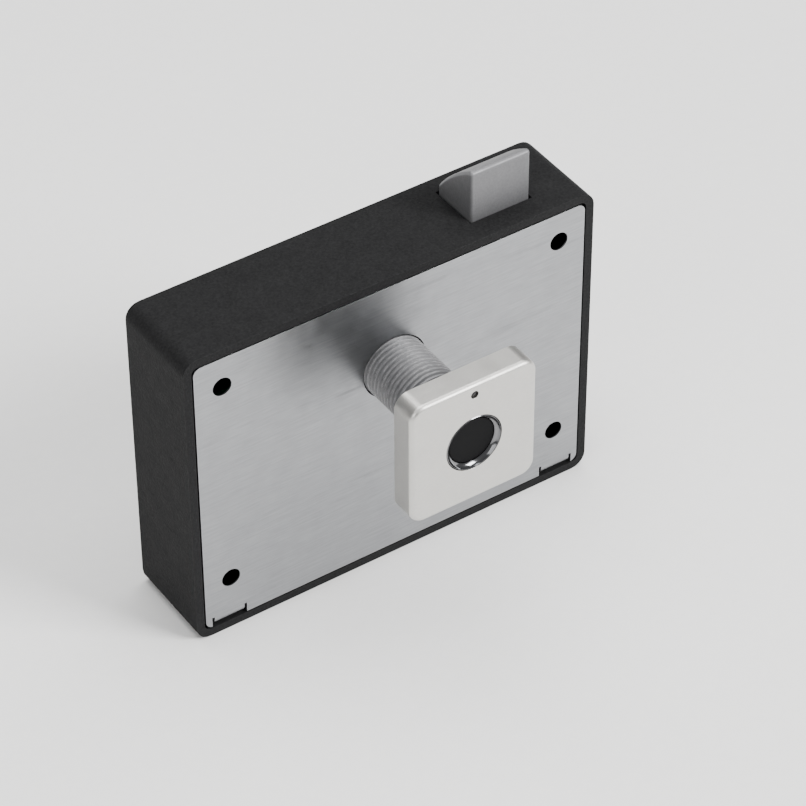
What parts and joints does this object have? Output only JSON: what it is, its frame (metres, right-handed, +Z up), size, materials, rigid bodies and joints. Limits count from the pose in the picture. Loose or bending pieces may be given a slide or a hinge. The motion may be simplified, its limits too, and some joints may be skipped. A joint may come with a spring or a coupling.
{
  "type": "electronic cabinet lock",
  "caption": "Fingerprint lock for a drawer: square metal reader on a hollow stem in front, black body behind with a sprung bevelled latch bolt that a geared motor draws in.",
  "frame": {"origin": "on the axis of the reader's stem, in the plane where the body lies against the panel's inner face", "axes": "+X to the right seen from outside the drawer, +Y into the drawer, +Z up towards the latch bolt's tip"},
  "size_m": [0.0818, 0.0421, 0.072],
  "materials": {
    "body_plastic": "fine moulded texture, satin black",
    "reader_metal": "satin nickel plate on a zinc casting",
    "polished_ring": "polished, dark chromed",
    "zinc": "satin die-cast zinc",
    "steel": "zinc plated",
    "bright_steel": "ground",
    "sensor_black": "smooth coating",
    "board": "solder mask",
    "rubber": "foam",
    "chip": "moulded",
    "brass": "machined",
    "gear_plastic": "moulded acetal",
    "cell_sleeve": "plain sleeve",
    "socket_plastic": "moulded",
    "flat_cable": "polyimide film",
    "smoked_lens": "clear smoked",
    "red_plastic": "moulded"
  },
  "bodies": {
    "body": {"base_plate": "steel", "battery_1": "cell_sleeve", "battery_2": "cell_sleeve", "battery_3": "cell_sleeve", "battery_contact_1": "steel", "battery_contact_2": "steel", "battery_contact_3": "steel", "battery_contact_4": "steel", "battery_spring_1": "steel", "battery_spring_2": "steel", "battery_spring_3": "steel", "board_screw_1": "steel", "board_screw_2": "steel", "cable_socket": "socket_plastic", "capacitor_1": "chip", "capacitor_2": "chip", "capacitor_3": "chip", "clamp_screw_1": "steel", "clamp_screw_2": "steel", "controller_chip": "chip", "fingerprint_sensor": "sensor_black", "gearbox": "brass", "housing": "body_plastic", "housing_screw_1": "steel", "housing_screw_2": "steel", "main_board": "board", "motor": "steel", "motor_clamp": "steel", "motor_driver_chip": "chip", "motor_lead_1": "red_plastic", "motor_lead_2": "red_plastic", "reader_bezel": "reader_metal", "reader_board": "board", "reader_cable": "flat_cable", "reader_gasket": "rubber", "reader_stem": "zinc", "sensor_ring": "polished_ring", "set_switch": "steel", "status_light": "smoked_lens", "stem_nut": "steel"},
    "draw": {"draw_plate": "zinc", "latch_spring": "bright_steel"},
    "latch": {"latch_bolt": "zinc", "latch_pin": "bright_steel"},
    "pinion_drive": {"motor_shaft": "bright_steel", "pinion": "gear_plastic"},
    "cover": {"battery_cover": "body_plastic"},
    "button": {"set_button": "red_plastic"}
  },
  "joints": [
    {"name": "draw_slide", "type": "slide", "parent": "body", "child": "draw", "axis": [0, 0, -1], "range_m": [0, 0.01]},
    {"name": "latch_slide", "type": "slide", "parent": "draw", "child": "latch", "axis": [0, 0, -1], "range_m": [0, 0.01], "stiffness_N_per_m": 80, "springref_m": -0.008, "deforming": ["latch_spring"]},
    {"name": "pinion_spin", "type": "hinge", "parent": "body", "child": "pinion_drive", "pos_m": [0.0247, 0.00938, -0.0282], "axis": [1, 0, 0], "range_deg": [0, 159.2]},
    {"name": "cover_slide", "type": "slide", "parent": "body", "child": "cover", "axis": [0, 1, 0], "range_m": [0, 0.03]},
    {"name": "button_press", "type": "slide", "parent": "body", "child": "button", "axis": [0, -1, 0], "range_m": [0, 0.0004], "stiffness_N_per_m": 400, "springref_m": -0.001}
  ],
  "couplings": [
    {"joint": "pinion_spin", "follows": "draw_slide", "rad_per_m": 277.78}
  ]
}
